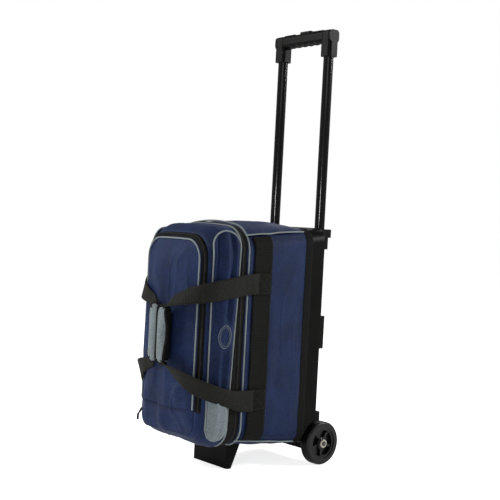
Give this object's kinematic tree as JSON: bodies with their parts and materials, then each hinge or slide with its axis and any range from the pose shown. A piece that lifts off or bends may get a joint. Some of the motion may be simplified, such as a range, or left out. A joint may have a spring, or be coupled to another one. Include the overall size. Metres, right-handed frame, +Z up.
{
  "type": "wheeled bowling ball bag",
  "caption": "Upright soft bowling bag on wheels: ball compartment, zipped front shoe section, carry loops and a telescoping pull handle.",
  "frame": {"origin": "on the floor, at the centre of the bounding box", "axes": "+Z up, -Y is the front with the shoe pocket, +Y the wheels and handle side, +X the right side seen from the front"},
  "size_m": [0.2848, 0.4618, 1.037],
  "materials": {
    "navy_fabric": "woven navy nylon",
    "black_fabric": "woven black nylon",
    "piping": "silver grey piping cord",
    "grey_fabric": "plain grey cloth",
    "webbing": "ribbed black webbing",
    "foam": "closed cell foam",
    "board": "plain",
    "black_plastic": "fine texture",
    "tyre": "smooth",
    "chrome": "polished",
    "steel": "satin",
    "tube": "satin black",
    "zip_coil": "plain",
    "zip_metal": "satin black"
  },
  "bodies": {
    "bag": {"back_shell": "black_plastic", "wheel_housings": "black_plastic", "front_foot": "black_plastic", "axle_bracket": "black_plastic", "rear_skid": "black_plastic", "handle_bracket": "black_plastic", "sleeve_bushes": "black_plastic", "axle_spacers": "black_plastic", "back_board": "board", "side_panel_right": "navy_fabric", "side_panel_left": "navy_fabric", "top_panel": "navy_fabric", "bottom_panel": "navy_fabric", "zip_tape_body": "black_fabric", "piping_body": "piping", "side_webbing_right": "webbing", "side_webbing_left": "webbing", "loop_anchors": "webbing", "ball_cradle": "foam", "axle": "steel", "bracket_screws": "steel", "foot_rivets": "steel", "handle_sleeves": "tube"},
    "wheel_right": {"tyre_right": "tyre", "wheel_hub_right": "black_plastic", "wheel_bush_right": "steel", "hub_cap_right": "chrome"},
    "wheel_left": {"tyre_left": "tyre", "wheel_hub_left": "black_plastic", "wheel_bush_left": "steel", "hub_cap_left": "chrome"},
    "handle": {"handle_tubes": "tube", "lock_plugs": "black_plastic", "grip_front": "black_plastic", "grip_rear": "black_plastic", "grip_screws": "steel"},
    "release": {"release_button": "black_plastic", "push_rods": "steel"},
    "pin_right": {"lock_pin_right": "steel"},
    "pin_left": {"lock_pin_left": "steel"},
    "lid": {"lid_gusset": "navy_fabric", "lid_inner_panel": "black_fabric", "lid_front_panel": "navy_fabric", "shoe_pocket_front": "navy_fabric", "shoe_zip_coil": "zip_coil", "side_pocket_right": "navy_fabric", "side_pocket_left": "navy_fabric", "side_pocket_patches": "grey_fabric", "zip_tape_lid": "black_fabric", "piping_lid": "piping"},
    "loop_right": {"loop_webbing_right": "webbing", "grip_pad_right": "grey_fabric"},
    "loop_left": {"loop_webbing_left": "webbing", "grip_pad_left": "grey_fabric"},
    "upper_slider": {"shoe_slider_upper": "zip_metal"},
    "upper_pull": {"shoe_pull_upper": "zip_metal"},
    "lower_slider": {"shoe_slider_lower": "zip_metal"},
    "lower_pull": {"shoe_pull_lower": "zip_metal"},
    "top_slider": {"main_slider": "zip_metal"},
    "top_pull": {"main_pull": "zip_metal"}
  },
  "joints": [
    {"name": "wheel_right_spin", "type": "hinge", "parent": "bag", "child": "wheel_right", "pos_m": [0.127, 0.1801, 0.0508], "axis": [1, 0, 0], "continuous": true},
    {"name": "wheel_left_spin", "type": "hinge", "parent": "bag", "child": "wheel_left", "pos_m": [-0.127, 0.1801, 0.0508], "axis": [1, 0, 0], "continuous": true},
    {"name": "handle_slide", "type": "slide", "parent": "bag", "child": "handle", "axis": [0, 0, 1], "range_m": [-0.392, 0]},
    {"name": "release_press", "type": "slide", "parent": "handle", "child": "release", "axis": [0, 0, -1], "range_m": [0, 0.004], "stiffness_N_per_m": 600, "springref_m": -0.006},
    {"name": "pin_right_retract", "type": "slide", "parent": "handle", "child": "pin_right", "axis": [-1, 0, 0], "range_m": [0, 0.004]},
    {"name": "pin_left_retract", "type": "slide", "parent": "handle", "child": "pin_left", "axis": [1, 0, 0], "range_m": [0, 0.004]},
    {"name": "lid_swing", "type": "hinge", "parent": "bag", "child": "lid", "pos_m": [-0.1275, -0.0849, 0.3], "axis": [0, 0, -1], "range_deg": [0, 80]},
    {"name": "loop_right_swing", "type": "hinge", "parent": "bag", "child": "loop_right", "pos_m": [0.135, -0.0494, 0.3], "axis": [0, 0, 1], "range_deg": [0, 160]},
    {"name": "loop_left_swing", "type": "hinge", "parent": "bag", "child": "loop_left", "pos_m": [-0.135, -0.0494, 0.3], "axis": [0, 0, -1], "range_deg": [0, 80]},
    {"name": "upper_slider_run", "type": "slide", "parent": "lid", "child": "upper_slider", "axis": [0, 0, 1], "range_m": [0, 0.27]},
    {"name": "upper_pull_lift", "type": "hinge", "parent": "upper_slider", "child": "upper_pull", "pos_m": [-0.1013, -0.17285, 0.17715], "axis": [-1, 0, 0], "range_deg": [0, 95]},
    {"name": "lower_slider_run", "type": "slide", "parent": "lid", "child": "lower_slider", "axis": [0, 0, 1], "range_m": [-0.012, 0]},
    {"name": "lower_pull_lift", "type": "hinge", "parent": "lower_slider", "child": "lower_pull", "pos_m": [-0.1013, -0.17285, 0.14515], "axis": [-1, 0, 0], "range_deg": [0, 95]},
    {"name": "top_slider_run", "type": "slide", "parent": "bag", "child": "top_slider", "axis": [1, 0, 0], "range_m": [0, 0.13]},
    {"name": "top_pull_lift", "type": "hinge", "parent": "top_slider", "child": "top_pull", "pos_m": [-0.06685, -0.0849, 0.54645], "axis": [0, 1, 0], "range_deg": [0, 95]}
  ],
  "couplings": [
    {"joint": "pin_right_retract", "follows": "release_press", "ratio": 1},
    {"joint": "pin_left_retract", "follows": "release_press", "ratio": 1},
    {"joint": "loop_right_swing", "follows": "lid_swing", "ratio": 2},
    {"joint": "loop_left_swing", "follows": "lid_swing", "ratio": 1}
  ]
}
